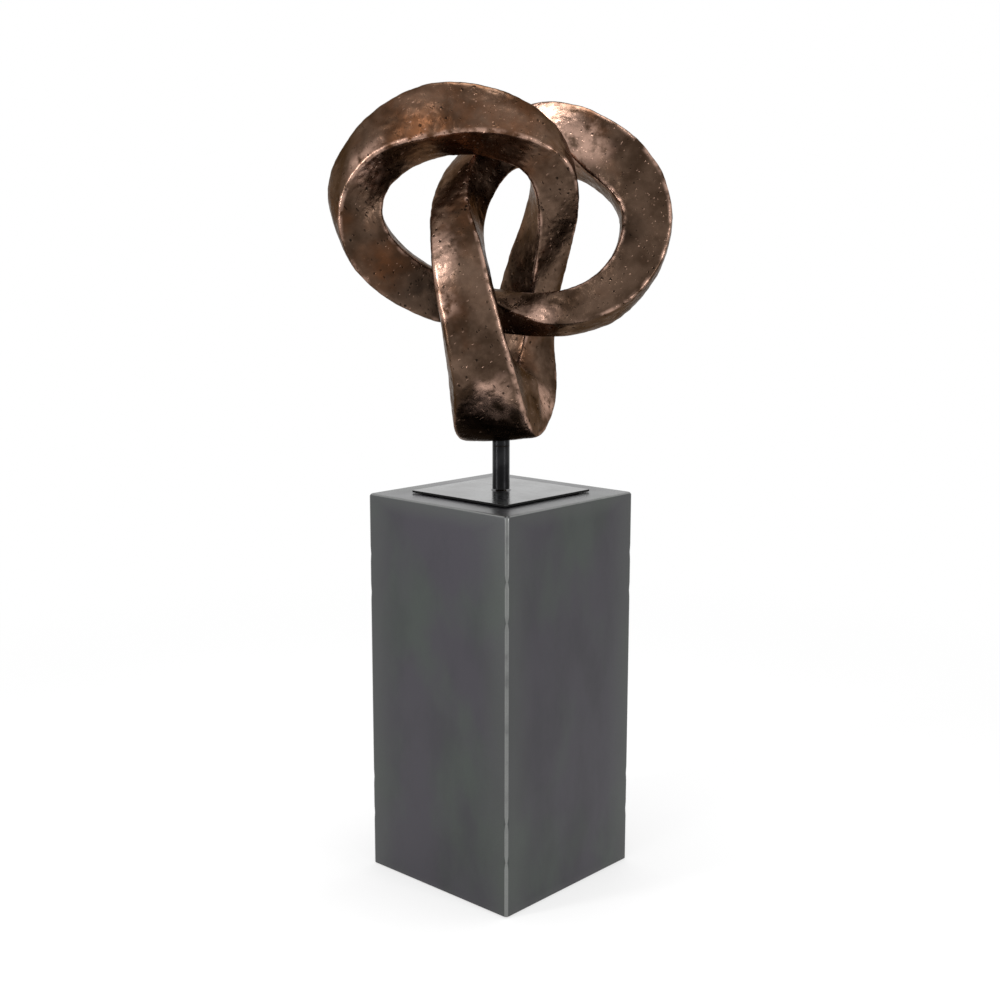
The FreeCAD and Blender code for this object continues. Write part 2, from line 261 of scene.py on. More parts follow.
# %% The path, with its vectors and its corners
# One row for each station: how soft each of the four corners is, from 0 crisp to 1 soft.
# The corners lie after the first, the second, the third and the fourth face.
softness_shares = [
    (0.45, 0.25, 0.50, 0.50),
    (0.75, 0.12, 0.50, 0.50),
    (1.00, 0.10, 0.60, 0.60),
    (1.00, 0.12, 0.60, 0.60),
    (0.85, 0.15, 0.60, 0.60),
    (0.55, 0.35, 0.50, 0.50),
    (0.60, 0.40, 0.40, 0.50),
    (0.50, 0.35, 0.50, 0.50),
    (0.30, 0.30, 0.60, 0.55),
    (0.10, 0.35, 0.60, 0.60),
    (0.15, 0.35, 0.60, 0.70),
    (0.75, 0.30, 0.50, 0.50),
    (0.85, 0.30, 0.50, 0.40),
    (0.40, 0.50, 0.60, 0.60),
    (0.35, 0.60, 0.85, 0.45),
    (0.35, 0.70, 0.95, 0.20),
    (0.35, 0.70, 1.00, 0.10),
    (0.35, 0.70, 1.00, 0.05),
    (0.35, 0.60, 1.00, 0.05),
    (0.30, 0.50, 0.90, 0.20),
    (0.30, 0.50, 0.60, 0.35),
    (0.25, 0.45, 0.50, 0.45),
    (0.30, 0.45, 0.50, 0.45),
    (0.40, 0.50, 0.45, 0.35),
]
path_values = {"first": first_poles, "second": second_poles}
for corner in range(4):
    path_values[f"soft_{corner}"] = [
        softness_shares[row % stations][(corner + 2 * (row // stations)) % 4]
        for row in range(2 * stations)
    ]
path_loop = loop_object("path_loop", path_poles, path_values)
print("path of", len(path_loop.data.vertices), "points, with", ", ".join(path_values))

# %% [markdown]
# ## The sweep as a node tree
#
# The tree lays a flat grid on the path. Each point of the grid has a share of the way
# along, its u, and a share of the way round, its v. The first picks a place on the path
# and reads the two vectors there. The second picks a point of the section. Adding them
# up puts the grid's point on the bar. The grid's open edges then meet each other
# exactly, with the half turn, and are merged.
#
# After that the surface is made uneven along its own normals, from large to small: slow
# swellings, tool marks like those of a wax knife, and small dents. All are noise in real
# sizes, read at the point's own place, so that the seam doesn't show. The sizes are
# inputs of the tree, so that they can be changed on the modifier.

# %% Inputs of the tree
bar_inputs = {
    "Crisp section": "NodeSocketObject",
    "Soft section": "NodeSocketObject",
    "Rows": "NodeSocketInt",
    "Places": "NodeSocketInt",
    "Swelling size": "NodeSocketFloat",
    "Swelling height": "NodeSocketFloat",
    "Facet size": "NodeSocketFloat",
    "Facet height": "NodeSocketFloat",
    "Dent size": "NodeSocketFloat",
    "Dent height": "NodeSocketFloat",
    "Material": "NodeSocketMaterial",
}
# Each kind of unevenness, how far off it reads the noise, and the noise's detail.
uneven_kinds = [("Swelling", 3.0, 1.0), ("Facet", 7.0, 2.0), ("Dent", 11.0, 3.0)]
print(len(bar_inputs), "inputs besides the path:", ", ".join(bar_inputs))

# %% Curves, samples and unevenness
curve_resolution = 32


def smooth_curve(tree, loop):
    """Closed cubic curve from a loop of edges."""
    curve = add(tree, "GeometryNodeMeshToCurve", {"Mesh": loop})
    curve = add(tree, "GeometryNodeCurveSplineType", {"Curve": curve}, spline_type="NURBS")
    return add(tree, "GeometryNodeSetSplineResolution", {
        0: curve, "Resolution": curve_resolution,
    })


def sampled(tree, curve, factor, label=None, kind="FLOAT_VECTOR"):
    """Sample a curve at a factor of its length: its position, or a named value."""
    sample = add(tree, "GeometryNodeSampleCurve", {"Curves": curve, "Factor": factor},
                 mode="FACTOR", data_type=kind)
    if label is None:
        return sample.outputs["Position"]
    named = add(tree, "GeometryNodeInputNamedAttribute", {"Name": label}, data_type=kind)
    tree.links.new(named.outputs[0], sample.inputs["Value"])
    return sample.outputs["Value"]


def uneven(tree, geometry, size, height, shift, detail):
    """Move points along their normals by noise of a real size and height."""
    place = add(tree, "GeometryNodeInputPosition")
    shifted = add(tree, "ShaderNodeVectorMath", {0: place, 1: (shift, 0, 0)})
    scale = add(tree, "ShaderNodeMath", {0: 1.0, 1: size}, operation="DIVIDE")
    bumps = add(tree, "ShaderNodeTexNoise", {
        "Vector": shifted, "Scale": scale, "Detail": detail, "Roughness": 0.5,
    })
    centred = add(tree, "ShaderNodeMapRange", {
        "Value": bumps, "To Min": -1.0, "To Max": 1.0,
    }, clamp=False)
    lift = add(tree, "ShaderNodeMath", {0: centred, 1: height}, operation="MULTIPLY")
    normal = add(tree, "GeometryNodeInputNormal")
    offset = add(tree, "ShaderNodeVectorMath", {0: normal, 3: lift}, operation="SCALE")
    return add(tree, "GeometryNodeSetPosition", {"Geometry": geometry, "Offset": offset})


# %% [markdown]
# Two numbers are worked out for each point and stored on it, because the finish needs
# them later: its ridge, which is 0 in the middle of a face and 1 at a corner, and its
# softness, which is that of the corner it lies next to. The softness drifts a little
# along the bar, and it also mixes the crisp section with the soft one.

# %% Numbers stored on the bar
corner_drift_size = 60 * mm
corner_drift_share = 0.3


def ridge_at(tree, quarter):
    """0 in the middle of a face, 1 at a corner."""
    to_corner = add(tree, "ShaderNodeMath", {0: quarter, 1: 0.5}, operation="PINGPONG")
    return add(tree, "ShaderNodeMath", {0: to_corner, 1: 2.0}, operation="MULTIPLY")


def softness_at(tree, path, lap, centre, quarter):
    """Softness of the corner that a point lies next to, drifting along the bar."""
    corner = add(tree, "ShaderNodeMath", {0: quarter}, operation="FLOOR")
    softness = 0.0
    for number in range(4):
        here = add(tree, "ShaderNodeMath", {0: corner, 1: number, 2: 0.1}, operation="COMPARE")
        softness = add(tree, "ShaderNodeMath", {
            0: here, 1: sampled(tree, path, lap, f"soft_{number}", "FLOAT"), 2: softness,
        }, operation="MULTIPLY_ADD")
    drift = add(tree, "ShaderNodeTexNoise", {
        "Vector": centre, "Scale": 1 / corner_drift_size, "Detail": 1.0,
    })
    drift = add(tree, "ShaderNodeMapRange", {
        "Value": drift, "To Min": -corner_drift_share, "To Max": corner_drift_share,
    })
    return add(tree, "ShaderNodeMath", {0: softness, 1: drift}, use_clamp=True)


# %% The tree of the bar
merge_distance = 0.05 * mm


def bar_tree():
    """Geometry Nodes tree that sweeps the section along the path."""
    tree = bpy.data.node_groups.new("twisted_bar", "GeometryNodeTree")
    face = tree.interface
    face.new_socket("Geometry", in_out="INPUT", socket_type="NodeSocketGeometry")
    for label, kind in bar_inputs.items():
        face.new_socket(label, in_out="INPUT", socket_type=kind)
    face.new_socket("Geometry", in_out="OUTPUT", socket_type="NodeSocketGeometry")
    start = add(tree, "NodeGroupInput").outputs
    path = smooth_curve(tree, start["Geometry"])
    sections = []
    for label in ("Crisp section", "Soft section"):
        section = add(tree, "GeometryNodeObjectInfo", {"Object": start[label]})
        sections.append(smooth_curve(tree, section.outputs["Geometry"]))

    grid = add(tree, "GeometryNodeMeshGrid", {
        "Size X": 1.0, "Size Y": 1.0,
        "Vertices X": add(tree, "ShaderNodeMath", {0: start["Rows"], 1: 1.0}),
        "Vertices Y": add(tree, "ShaderNodeMath", {0: start["Places"], 1: 1.0}),
    })
    shape = add(tree, "GeometryNodeStoreNamedAttribute", {
        "Geometry": grid, "Name": "UVMap", "Value": grid.outputs["UV Map"],
    }, data_type="FLOAT2", domain="CORNER")
    flat = add(tree, "ShaderNodeSeparateXYZ", {0: add(tree, "GeometryNodeInputPosition")})
    along = add(tree, "ShaderNodeMath", {0: flat.outputs[0], 1: 0.5})
    around = add(tree, "ShaderNodeMath", {0: flat.outputs[1], 1: 0.5})
    lap = add(tree, "ShaderNodeMath", {0: along, 1: 0.5}, operation="MULTIPLY")
    quarter = add(tree, "ShaderNodeMath", {0: around, 1: 4.0}, operation="MULTIPLY")

    centre = sampled(tree, path, lap)
    softness = softness_at(tree, path, lap, centre, quarter)
    for label, value in (("ridge", ridge_at(tree, quarter)), ("softness", softness)):
        shape = add(tree, "GeometryNodeStoreNamedAttribute", {
            "Geometry": shape, "Name": label, "Value": value,
        }, data_type="FLOAT", domain="POINT")
    mixed = add(tree, "ShaderNodeMix", {
        0: softness, 4: sampled(tree, sections[0], around), 5: sampled(tree, sections[1], around),
    }, data_type="VECTOR")
    place = centre
    for number, label in enumerate(("first", "second")):
        share = add(tree, "ShaderNodeSeparateXYZ", {0: mixed.outputs[1]}).outputs[number]
        half = sampled(tree, path, lap, label)
        step = add(tree, "ShaderNodeVectorMath", {0: half, 3: share}, operation="SCALE")
        place = add(tree, "ShaderNodeVectorMath", {0: place, 1: step})
    shape = add(tree, "GeometryNodeSetPosition", {"Geometry": shape, "Position": place})
    shape = add(tree, "GeometryNodeMergeByDistance", {
        "Geometry": shape, "Distance": merge_distance,
    })

    for label, shift, detail in uneven_kinds:
        size, height = start[f"{label} size"], start[f"{label} height"]
        shape = uneven(tree, shape, size, height, shift, detail)
    shape = add(tree, "GeometryNodeSetShadeSmooth", {"Geometry": shape})
    shape = add(tree, "GeometryNodeRealizeInstances", {"Geometry": shape})
    shape = add(tree, "GeometryNodeSetMaterial", {"Geometry": shape, "Material": start["Material"]})
    add(tree, "NodeGroupOutput", {"Geometry": shape})
    return tree


# %% [markdown]
# ## Turning a tree into a plain mesh
#
# A modifier's inputs are found by their sockets' identifiers. Once the tree has run, its
# result is copied to a plain mesh, and the loops that only steered it are removed.

# %% Run a tree and keep its mesh
def plain_from_tree(name, holder, tree, inputs):
    """New object with the mesh that a tree makes from a holder object."""
    modifier = holder.modifiers.new("tree", "NODES")
    modifier.node_group = tree
    identifiers = {
        item.name: item.identifier
        for item in tree.interface.items_tree
        if item.item_type == "SOCKET" and item.in_out == "INPUT"
    }
    for label, value in inputs.items():
        modifier[identifiers[label]] = value
    ready = holder.evaluated_get(bpy.context.evaluated_depsgraph_get())
    mesh = bpy.data.meshes.new_from_object(ready)
    mesh.name = name
    piece = bpy.data.objects.new(name, mesh)
    bpy.context.scene.collection.objects.link(piece)
    holder.modifiers.remove(modifier)
    return piece


def volume_of(mesh):
    """Signed volume of a closed mesh; it is positive where faces point outwards."""
    shape = bmesh.new()
    shape.from_mesh(mesh)
    volume = shape.calc_volume(signed=True)
    shape.free()
    return volume


# %% [markdown]
# ## Layers of a finish
#
# A finish is built like the real one, in layers from large to small. Two helpers say
# that in a line each. The first makes patches: noise whose blotches have a real size,
# cut so that it is 0 nearly everywhere, or nearly nowhere. The second lays one colour
# over another where such a mask says so. Masks are joined with each other, and in the
# end the colour, the roughness and the relief go into the shader.
#
# Marks finer than about a millimetre would vanish in a picture of the whole sculpture,
# so each finish says below which of its marks are drawn coarser than they really are.

# %% Helpers for finishes
def new_material(name, **shader_values):
    """Material with a Principled shader, its plain values, and the Object coordinates."""
    material = bpy.data.materials.new(name)
    material.use_nodes = True
    tree = material.node_tree
    tree.nodes.clear()
    shader = add(tree, "ShaderNodeBsdfPrincipled")
    add(tree, "ShaderNodeOutputMaterial", {"Surface": shader})
    for label, value in shader_values.items():
        shader.inputs[label.replace("_", " ").title()].default_value = value
    return material, tree, shader, add(tree, "ShaderNodeTexCoord").outputs["Object"]


def patches(tree, place, size, low, high, detail=3.0, end=1.0):
    """Noise in blotches of about this size, eased from 0 at low to the end at high."""
    noise_node = add(tree, "ShaderNodeTexNoise", {
        "Vector": place, "Scale": 1 / size, "Detail": detail, "Roughness": 0.55,
    })
    return add(tree, "ShaderNodeMapRange", {
        "Value": noise_node, "From Min": low, "From Max": high, "To Max": end,
    }, interpolation_type="SMOOTHSTEP").outputs[0]


def layer(tree, under, over, mask, strength=1.0):
    """Lay a colour over another where a mask is 1; each is a hex value or a socket."""
    ends = [colour(value) if isinstance(value, str) else value for value in (under, over)]
    part = add(tree, "ShaderNodeMath", {0: mask, 1: strength}, operation="MULTIPLY")
    return add(tree, "ShaderNodeMix", {0: part, 6: ends[0], 7: ends[1]},
               data_type="RGBA").outputs[2]


def finish(tree, shader, base, rough, relief=None, depth=0.0, strength=1.0):
    """Wire a colour, a roughness and, where there is one, a relief of a real depth."""
    tree.links.new(base, shader.inputs["Base Color"])
    tree.links.new(rough.outputs[0], shader.inputs["Roughness"])
    if relief is not None:
        bump = add(tree, "ShaderNodeBump", {
            "Height": relief, "Distance": depth, "Strength": strength,
        })
        tree.links.new(bump.outputs[0], shader.inputs["Normal"])


def joined(tree, first, second, operation="MAXIMUM"):
    """Two masks as one; the second is held between 0 and 1 first."""
    held = add(tree, "ShaderNodeClamp", {"Value": second})
    return add(tree, "ShaderNodeMath", {0: first, 1: held}, operation=operation).outputs[0]


def stretched(tree, place, scale, turn=(0, 0, 0)):
    """Coordinates turned, then squeezed along each axis, for strokes and grain."""
    turned = add(tree, "ShaderNodeVectorRotate", {"Vector": place, "Rotation": turn},
                 rotation_type="EULER_XYZ")
    return add(tree, "ShaderNodeVectorMath", {0: turned, 1: scale}, operation="MULTIPLY")


# %% [markdown]
# ## Patinated bronze
#
# The knot is cast bronze, an alloy of copper and tin. Its brown comes from a chemical
# patina that was brushed on hot and then waxed, so it is a dark metal with a soft gloss:
# metallic 1, and a roughness of about a third.
#
# Some places on it look different, and the nearest station of the knot says where they
# are: warm places, painted shade and painted highlights. A mask from the distance to a
# point would be a round spot, so the place is moved about by slow noise before the
# distance is measured, and the outline wanders. A second noise tears holes into the spots.

# %% Bronze: spots with wandering outlines
sway_reach = 70 * mm
sway_spacing = 45 * mm


def on_front(row, across, up):
    """Place on the front of the bar, in half bars across and up from a station."""
    return tuple(station_centre(row) + Vector((across, -1, up)) * bar_half)


def spots_on(tree, place, spot_shares, tears):
    """All the spots as one mask, each 1 in its middle and eased to 0 at its reach."""
    sway = add(tree, "ShaderNodeTexNoise", {
        "Vector": place, "Scale": 1 / sway_spacing, "Detail": 3.0,
    }).outputs["Color"]
    sway = add(tree, "ShaderNodeVectorMath", {0: sway, 1: (0.5, 0.5, 0.5)},
               operation="SUBTRACT")
    moved = add(tree, "ShaderNodeVectorMath", {
        0: sway, 1: (sway_reach, sway_reach, sway_reach), 2: place,
    }, operation="MULTIPLY_ADD")
    mask = 0.0
    for row, across, up, reach in spot_shares:
        distance = add(tree, "ShaderNodeVectorMath", {0: moved, 1: on_front(row, across, up)},
                       operation="DISTANCE").outputs["Value"]
        spot = add(tree, "ShaderNodeMapRange", {
            "Value": distance, "From Min": reach, "From Max": 0.0,
        }, interpolation_type="SMOOTHSTEP").outputs[0]
        mask = joined(tree, mask, spot)
    return joined(tree, tears, mask, "MULTIPLY")


# %% [markdown]
# The patina is thin. In some places the metal glows warm, and the nearly black spots are
# painted shade. It is darker far out on the loops, where the brush started, and a little
# paler below and on the sides that look inwards, which is painted fill light.

# %% Bronze: colours and places of the brown
patina_dark = "#37291f"
patina_mid = "#6b5648"
patina_warm = "#6c4329"
painted_shade_black = "#15100d"
# Colour of the painted fill light on undersides and inward faces.
fill_light_brown = "#6b5a4e"

# Each spot: its station, its shares of half the bar across and up, and its reach.
warm_spot_shares = [
    (17, -0.6, -0.5, 125 * mm),
    (17, 0.8, -0.5, 125 * mm),
    (18, 0.2, -0.6, 115 * mm),
    (4, 0.2, -0.6, 80 * mm),
    (14, 0.5, -0.6, 70 * mm),
]
# Painted shade: nearly black spots next to the front strand and inside the right loop.
painted_shade_spot_shares = [
    (13, 0.1, 0.1, 95 * mm),
    (13, 0.5, -0.5, 80 * mm),
    (9, -1.1, 0.9, 60 * mm),
]
knot_low, knot_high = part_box("knot_casting")
middle_of_knot = [(low + high) / 2 for low, high in zip(knot_low, knot_high)]
print(len(warm_spot_shares), "warm and", len(painted_shade_spot_shares), "painted shade places")

# %% Bronze: the brown
def far_out(tree, place):
    """0 near the post's axis, 1 at the outer ends of the loops."""
    across = add(tree, "ShaderNodeSeparateXYZ", {0: place}).outputs["X"]
    across = add(tree, "ShaderNodeMath", {0: across}, operation="ABSOLUTE")
    return add(tree, "ShaderNodeMapRange", {
        "Value": across, "From Min": 0.3 * knot_half_width, "From Max": 0.9 * knot_half_width,
    }, interpolation_type="SMOOTHSTEP").outputs[0]


def fill_light_mask(tree, place):
    """Mask of painted fill light: 1 where the surface looks down, and half that where it looks into
    the knot.
    """
    facing = add(tree, "ShaderNodeTexCoord").outputs["Normal"]
    to_middle = add(tree, "ShaderNodeVectorMath", {0: tuple(middle_of_knot), 1: place},
                    operation="SUBTRACT")
    to_middle = add(tree, "ShaderNodeVectorMath", {0: to_middle}, operation="NORMALIZE")
    masks = []
    for direction, start, end in (((0, 0, -1), 0.5, 1.0), (to_middle, 0.35, 0.5)):
        towards = add(tree, "ShaderNodeVectorMath", {0: facing, 1: direction},
                      operation="DOT_PRODUCT").outputs["Value"]
        masks.append(add(tree, "ShaderNodeMapRange", {
            "Value": towards, "From Min": start, "From Max": 0.95, "To Max": end,
        }, interpolation_type="SMOOTHSTEP").outputs[0])
    return joined(tree, *masks)


def stained_brown(tree, place):
    """Colour of the patina, with painted shade spots and painted fill light, before anything is
    rubbed or scratched.
    """
    clouds = patches(tree, place, 70 * mm, 0.36, 0.66, 4.0)
    brown = layer(tree, patina_dark, patina_mid, clouds)
    brown = layer(tree, brown, patina_dark, far_out(tree, place), 0.4)
    # Warmer brown in wide patches and in the listed warm places.
    warmth = patches(tree, place, 110 * mm, 0.55, 0.75, 3.0, 0.5)
    warm_tears = patches(tree, place, 30 * mm, 0.15, 0.75, 4.0)
    warmth = joined(tree, warmth, spots_on(tree, place, warm_spot_shares, warm_tears))
    brown = layer(tree, brown, patina_warm, warmth, 0.7)
    # Painted shade, laid on as nearly black spots.
    shade_tears = patches(tree, place, 40 * mm, 0.05, 0.55, 4.0)
    brown = layer(tree, brown, painted_shade_black, spots_on(tree, place, painted_shade_spot_shares, shade_tears), 0.8)
    # Painted fill light: a paler brown below and on the sides that look inwards.
    return layer(tree, brown, fill_light_brown, fill_light_mask(tree, place), 0.25)


# %% [markdown]
# Hands and cloths rub the patina through to pale pink metal, in a broken line along the
# crisp edges. The soft pale spots where the bar bulges are painted highlights, in the same
# colour. The edges are known from the two numbers that the sweep stored: how near a point
# is to a corner of the section, and how soft that corner is.

# %% Bronze: where it is rubbed, and its painted highlights
bare_bronze_and_highlight = "#d4ad9a"
# Painted highlights: soft pale spots on the bulges, in the colour of bare bronze.
highlight_spot_shares = [
    (6, 0.1, 0.6, 80 * mm),
    (6, 0.8, -0.1, 80 * mm),
    (7, -0.6, 0.2, 70 * mm),
    (3, -0.8, 0.8, 42 * mm),
    (3, -0.8, 0.0, 52 * mm),
    (3, -0.7, -0.7, 48 * mm),
    (2, -0.9, 0.4, 42 * mm),
    (1, 0.4, -0.6, 40 * mm),
    (11, -0.5, 0.1, 52 * mm),
    (23, 0.8, -0.5, 50 * mm),
    (16, -0.4, -0.6, 50 * mm),
    (1, 0.3, -1.6, 60 * mm),
]
print(len(highlight_spot_shares), "painted highlight places, besides the crisp edges")


def worn_and_highlit(tree, place):
    """1 where bare metal shows along the crisp edges, and on the spots of painted highlight."""
    mask = patches(tree, place, 24 * mm, 0.40, 0.62, 7.0, 0.85)
    for label, start, end in (("ridge", 0.80, 0.97), ("softness", 0.65, 0.15)):
        value = add(tree, "ShaderNodeAttribute", attribute_name=label).outputs["Fac"]
        edge = add(tree, "ShaderNodeMapRange", {
            "Value": value, "From Min": start, "From Max": end,
        }, interpolation_type="SMOOTHSTEP").outputs[0]
        mask = joined(tree, mask, edge, "MULTIPLY")
    highlight_tears = patches(tree, place, 19 * mm, 0.31, 0.55, 8.0)
    return joined(tree, mask, spots_on(tree, place, highlight_spot_shares, highlight_tears))


# %% [markdown]
# Pits from the casting and nicks from the chasing tools come last, in the colour and in
# the relief. The pale nicks also stand for painted glints, where their edges catch the
# light. They are drawn two or three times as large as on the real bronze, and the nicks
# further apart, so that they show in a picture of the whole sculpture.

# %% Bronze: pits and nicks
pit_black = "#0f0b09"
pit_spacing = 13 * mm
nick_length = 16 * mm
nick_width = 3.2 * mm
nicked_share = 0.08


def strokes_on(tree, place, turn):
    """Short thin nicks in one direction: 1 on a nick, 0 elsewhere."""
    squeezed = stretched(tree, place, (1 / nick_length, 1 / nick_width, 1 / nick_width), turn)
    cells = add(tree, "ShaderNodeTexVoronoi", {"Vector": squeezed, "Scale": 1.0}).outputs
    nick = add(tree, "ShaderNodeMapRange", {
        "Value": cells["Distance"], "From Min": 0.36, "From Max": 0.20,
    })
    chance = add(tree, "ShaderNodeSeparateXYZ", {0: cells["Color"]})
    kept = add(tree, "ShaderNodeMath", {0: chance, 1: 1 - nicked_share}, operation="GREATER_THAN")
    return joined(tree, nick, kept, "MULTIPLY")


def pits_on(tree, place):
    """Round pits in loose groups: 1 in a pit, 0 elsewhere."""
    cells = add(tree, "ShaderNodeTexVoronoi", {"Vector": place, "Scale": 1 / pit_spacing})
    pit = add(tree, "ShaderNodeMapRange", {"Value": cells, "From Min": 0.24, "From Max": 0.14})
    return joined(tree, patches(tree, place, 40 * mm, 0.52, 0.62, 2.0), pit, "MULTIPLY")


# %% Bronze: put together
def patinated_bronze():
    """Cast bronze with a hot brushed brown patina, waxed, rubbed where it is touched, and with
    painted shade, fill light, highlights and glints.
    """
    material, tree, shader, place = new_material(
        "patinated_bronze", metallic=1.0, specular_tint=colour("#c0b8b2"),
    )
    mottle = patches(tree, place, 11 * mm, 0.25, 0.75, 6.0)
    rubbed = worn_and_highlit(tree, place)
    pits = pits_on(tree, place)
    grouped = patches(tree, place, 60 * mm, 0.38, 0.60, 2.0)
    nicks_and_glints = joined(tree, grouped, strokes_on(tree, place, (0.3, 0.5, 0.7)), "MULTIPLY")
    cuts = strokes_on(tree, place, (1.1, 0.2, 2.1))

    metal = layer(tree, stained_brown(tree, place), patina_dark, mottle, 0.35)
    # Bare metal along the crisp edges, and painted highlights on the bulges.
    metal = layer(tree, metal, bare_bronze_and_highlight, rubbed, 0.72)
    metal = layer(tree, metal, pit_black, pits, 0.8)
    # Pale nicks, which are also painted glints.
    metal = layer(tree, metal, bare_bronze_and_highlight, nicks_and_glints, 0.3)
    metal = layer(tree, metal, pit_black, cuts, 0.7)

    rough = add(tree, "ShaderNodeMapRange", {"Value": mottle, "To Min": 0.22, "To Max": 0.37})
    rough = add(tree, "ShaderNodeMath", {0: rubbed, 1: -0.06, 2: rough},
                operation="MULTIPLY_ADD")
    relief = add(tree, "ShaderNodeMath", {0: mottle, 1: 0.45, 2: nicks_and_glints}, operation="MULTIPLY_ADD")
    relief = add(tree, "ShaderNodeMath", {0: relief, 1: joined(tree, pits, cuts)},
                 operation="SUBTRACT")
    finish(tree, shader, metal, rough, relief, 0.9 * mm, 0.8)
    return material


# %% [markdown]
# ## The knot
#
# The sweep is run with its sections, its sizes and its finish. The grid is fine enough
# for the smallest dents: a point about every 3 mm, both along the bar and round it.

# %% Make the knot
knot = plain_from_tree("knot_casting_skin", path_loop, bar_tree(), {
    "Crisp section": crisp_loop,
    "Soft section": soft_loop,
    "Rows": 880,
    "Places": 112,
    "Swelling size": 75 * mm,
    "Swelling height": 2.2 * mm,
    "Facet size": 26 * mm,
    "Facet height": 1.4 * mm,
    "Dent size": 11 * mm,
    "Dent height": 0.8 * mm,
    "Material": patinated_bronze(),
})
if volume_of(knot.data) < 0:
    knot.data.flip_normals()
for loop in (path_loop, crisp_loop, soft_loop):
    bpy.data.objects.remove(loop)
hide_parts("knot_casting")
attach(knot, "knot")
print("knot:", len(knot.data.polygons), "faces,", round(volume_of(knot.data) * 1000, 2), "litres")

# %% [markdown]
# ## Pieces that are stacks of rings
#
# Everything below the knot is either turned or square. Both are the same idea: a stack
# of rings, each at its own height and half width, joined by a skin. A turned piece has
# round rings, and a square one has rings with straight sides and rounded corners. The
# list of widths and heights is the piece's profile, drawn like a lathe template. Its
# sharp turns are eased with a few points, because no real edge is perfectly sharp and a
# rounded one catches the light.

# %% Profiles and rings
# The square pieces all stand turned by this angle, as the pedestal does in the photograph.
pedestal_turn = math.radians(-42.6)
corner_steps = 6


def eased(profile, radius, steps=4):
    """Profile with its inner points replaced by small rounds of about this radius."""
    points = [Vector(point) for point in profile]
    round_points = [points[0]]
    for before, corner, after in zip(points, points[1:], points[2:]):
        start, end = before - corner, after - corner
        for side in (start, end):
            side.length = min(radius, side.length / 2)
        for step in range(steps + 1):
            share = step / steps
            round_points.append(corner + start * (1 - share) ** 2 + end * share ** 2)
    return round_points + [points[-1]]


def round_ring(half, height, places):
    """Points of a level circle about the post's axis."""
    turns = [2 * math.pi * place / places for place in range(places)]
    return [(half * math.cos(turn), half * math.sin(turn), height) for turn in turns]


def square_ring(half, height, corner_radius, side_steps):
    """Points of a level square with round corners, turned as the pedestal stands."""
    radius = min(corner_radius, half)
    points = []
    for quarter in range(4):
        middle = Vector((half - radius, half - radius))
        for step in range(corner_steps + 1):
            angle = math.pi / 2 * step / corner_steps
            points.append((quarter, middle + radius * Vector((math.cos(angle), math.sin(angle)))))
        for step in range(1, side_steps):
            share = step / side_steps
            points.append((quarter, Vector(((half - radius) * (1 - 2 * share), half))))
    ring = []
    for quarter, point in points:
        angle = quarter * math.pi / 2 + pedestal_turn
        ring.append((
            point.x * math.cos(angle) - point.y * math.sin(angle),
            point.x * math.sin(angle) + point.y * math.cos(angle),
            height,
        ))
    return ring


# %% From rings to a piece
def from_rings(name, rings, hollow=False):
    """Closed piece over a stack of rings: two flat ends, or the last ring on the first."""
    around = len(rings[0])
    count = len(rings)
    faces = []
    for row in range(count if hollow else count - 1):
        near, far = row * around, (row + 1) % count * around
        for place in range(around):
            beside = (place + 1) % around
            faces.append((near + place, near + beside, far + beside, far + place))
    if not hollow:
        faces.append(tuple(reversed(range(around))))
        faces.append(tuple(range((count - 1) * around, count * around)))
    mesh = bpy.data.meshes.new(name)
    mesh.from_pydata([point for ring in rings for point in ring], [], faces)
    if volume_of(mesh) < 0:
        mesh.flip_normals()
    mesh.shade_smooth()
    piece = bpy.data.objects.new(name, mesh)
    bpy.context.scene.collection.objects.link(piece)
    piece.modifiers.new("flat_faces_stay_flat", "WEIGHTED_NORMAL").keep_sharp = True
    return piece


def dress(piece, node, body, material):
    """Give a piece its finish and its place on a body, and hide the measured solid it stands for.
    """
    piece.data.materials.append(material)
    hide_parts(node)
    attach(piece, body)
    print(piece.name, len(piece.data.polygons), "faces on", body)


# %% [markdown]
# ## Blackened steel
#
# The post and the sleeve that shows under the knot are mild steel, turned and then
# blackened in a hot oxide bath and oiled. The layer is part of the steel and very thin,
# so it is a black metal with a satin gloss. The ring at the post's foot was left bright.
# Turning leaves faint rings round all of them, a few tenths of a millimetre apart, drawn
# here three times as wide.
#
# A lathe would give these pieces their shape from a profile, and so does this: each is
# a stack of round rings. One that is open in the middle closes on itself.

# %% Blackened steel
oxide_black = "#1e1e1f"
oxide_grey = "#2b2b2c"
turning_pitch = 0.9 * mm


def turned_steel(name, dark, pale, roughness):
    """Turned steel with its faint rings, either blackened and oiled or left bright."""
    material, tree, shader, place = new_material(name, metallic=1.0)
    blotches = patches(tree, place, 24 * mm, 0.35, 0.68, 3.0)
    base = layer(tree, dark, pale, blotches, 0.8)
    rings = patches(tree, stretched(tree, place, (0.02, 0.02, 1.0)), turning_pitch, 0.3, 0.7, 2.0)
    rough = add(tree, "ShaderNodeMath", {0: rings, 1: 0.03, 2: roughness}, operation="MULTIPLY_ADD")
    finish(tree, shader, base, rough, rings, 0.01 * mm, 0.2)
    return material


satin_black = turned_steel("blackened_steel", oxide_black, oxide_grey, 0.28)
worn_bright = turned_steel("bright_turned_steel", "#5c5c5d", "#747475", 0.14)
print("finishes:", satin_black.name, "and", worn_bright.name)

